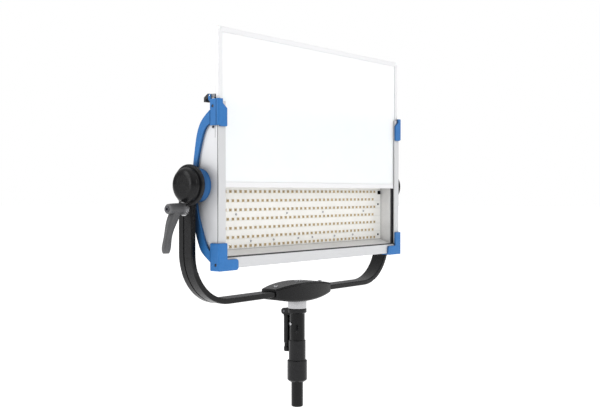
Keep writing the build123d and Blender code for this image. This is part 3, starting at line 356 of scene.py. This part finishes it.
def new_piece(name, bm, body, slot, smooth=True):
    mesh = bpy.data.meshes.new(name)
    bmesh.ops.recalc_face_normals(bm, faces=bm.faces)
    bm.to_mesh(mesh)
    bm.free()
    obj = bpy.data.objects.new(name, mesh)
    scene.collection.objects.link(obj)
    if smooth:
        for face in mesh.polygons:
            face.use_smooth = True
    dress(obj, slot)
    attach(obj, body)
    return obj


# ------------------------------------------------------------------ diodes

def diode_packages():
    """Each package is a pale moulded frame with a sunk pocket of yellow phosphor."""
    low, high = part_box("led_packages")
    pitch_x, pitch_z = DIODE_PITCH_X * MM, DIODE_PITCH_Z * MM
    back, front = high.y, low.y
    bm = bmesh.new()
    middle_z = (low.z + high.z) / 2
    for row in range(DIODE_ROWS):
        z = middle_z + (row - (DIODE_ROWS - 1) / 2) * pitch_z
        count = DIODE_COLUMNS - row % 2
        for column in range(count):
            x = (column - (count - 1) / 2) * pitch_x
            rings = []
            for half_w, half_h, y, cut in (
                (3.75, 3.25, back, 0.4), (3.75, 3.25, front + 0.0003, 0.4), (3.55, 3.05, front, 0.4),
                (2.85, 2.35, front, 0.8), (2.5, 2.0, front + 0.00045, 0.8),
            ):
                ring = []
                for sx, sz in ((-1, -1), (1, -1), (1, 1), (-1, 1)):
                    corner = [(sx * half_w, sz * (half_h - cut)), (sx * (half_w - cut), sz * half_h)]
                    if sx * sz > 0:
                        corner.reverse()
                    for cx, cz in corner:
                        ring.append(bm.verts.new((x + cx * MM, y, z + cz * MM)))
                rings.append(ring)
            for a, b in zip(rings, rings[1:]):
                for i in range(8):
                    bm.faces.new((a[i], a[(i + 1) % 8], b[(i + 1) % 8], b[i]))
            phosphor = bm.faces.new(rings[-1])
            phosphor.material_index = 1
            bm.faces.new(list(reversed(rings[0])))
    piece = new_piece("diodes", bm, "head", "led_phosphor", smooth=False)
    dress(piece, "led_frame", "led_phosphor")
    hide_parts("led_packages")


MATERIALS["led_frame"] = plastic("led_frame", (0.52, 0.38, 0.21), 0.42, 3500, 0.1, 0.0002)
diode_packages()


# ------------------------------------------------------------------ surroundings

def floor():
    low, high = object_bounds()
    bm = bmesh.new()
    z = low.z - FLOOR_DROP
    for x, y in ((-1, -1), (1, -1), (1, 1), (-1, 1)):
        bm.verts.new((x * FLOOR_REACH, y * FLOOR_REACH, z))
    bm.faces.new(bm.verts)
    mesh = bpy.data.meshes.new("floor")
    bm.to_mesh(mesh)
    bm.free()
    obj = bpy.data.objects.new("floor", mesh)
    scene.collection.objects.link(obj)
    s = Shader("floor_paint")
    tone = s.ramp(s.noise(1.5, 4), (0.3, 0.93), (0.7, 0.96))
    obj.data.materials.append(s.set(color=tone, rough=0.75, specular=0.2, emission=tone,
                                    emission_strength=0.55))
    obj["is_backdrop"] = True


def area_light(name, place, target, size, power):
    data = bpy.data.lights.new(name, "AREA")
    data.shape = "RECTANGLE"
    data.size, data.size_y = size
    data.energy = power
    light = bpy.data.objects.new(name, data)
    light.location = place
    light.rotation_euler = (Vector(target) - Vector(place)).to_track_quat("-Z", "Y").to_euler()
    scene.collection.objects.link(light)


def studio_world():
    """A white sweep behind the object, and a softer, uneven room for everything it lights."""
    world = bpy.data.worlds.new("studio")
    world.use_nodes = True
    tree = world.node_tree
    new, link = tree.nodes.new, tree.links.new
    output = tree.nodes["World Output"]
    room, sweep = tree.nodes["Background"], new("ShaderNodeBackground")
    sweep.inputs["Color"].default_value = (1, 1, 1, 1)
    sweep.inputs["Strength"].default_value = 1.0
    coords, split = new("ShaderNodeTexCoord"), new("ShaderNodeSeparateXYZ")
    ramp = new("ShaderNodeValToRGB")
    link(coords.outputs["Generated"], split.inputs[0])
    link(split.outputs["Z"], ramp.inputs["Fac"])
    room.inputs["Strength"].default_value = 0.82
    stops = ramp.color_ramp.elements
    stops[0].color = (0.16, 0.16, 0.17, 1)
    stops[1].position = 0.55
    stops[1].color = (1.0, 1.0, 1.0, 1)
    link(ramp.outputs["Color"], room.inputs["Color"])
    rays, mix = new("ShaderNodeLightPath"), new("ShaderNodeMixShader")
    link(rays.outputs["Is Camera Ray"], mix.inputs["Fac"])
    link(room.outputs[0], mix.inputs[1])
    link(sweep.outputs[0], mix.inputs[2])
    link(mix.outputs[0], output.inputs["Surface"])
    scene.world = world


def surroundings():
    floor()
    studio_world()
    middle = (0, 0, 0.45)
    area_light("overhead", (0, 0, 3.2), (0, 0, 0), (4, 4), 20)
    area_light("key", (-0.9, -3.2, 1.5), middle, (1.0, 1.4), 12)
    area_light("left", (-2.6, 1.6, 1.3), middle, (0.6, 1.8), 15)
    area_light("right", (2.8, -2.4, 1.2), middle, (0.6, 1.8), 8)
    scene.view_settings.view_transform = "Standard"


def camera():
    """Level view from the front left, a little below the tilt axis."""
    place = Vector((-1.6616, -1.3514, 0.4561))
    turn, pitch = radians(51.06), radians(0.86)
    look = Vector((sin(turn) * cos(pitch), cos(turn) * cos(pitch), -sin(pitch)))
    data = bpy.data.cameras.new("camera")
    data.sensor_width = 36.0
    data.lens = 53.1
    data.clip_end = 200
    obj = bpy.data.objects.new("camera", data)
    obj.location = place
    obj.rotation_euler = look.to_track_quat("-Z", "Y").to_euler()
    scene.collection.objects.link(obj)
    scene.camera = obj


surroundings()
camera()
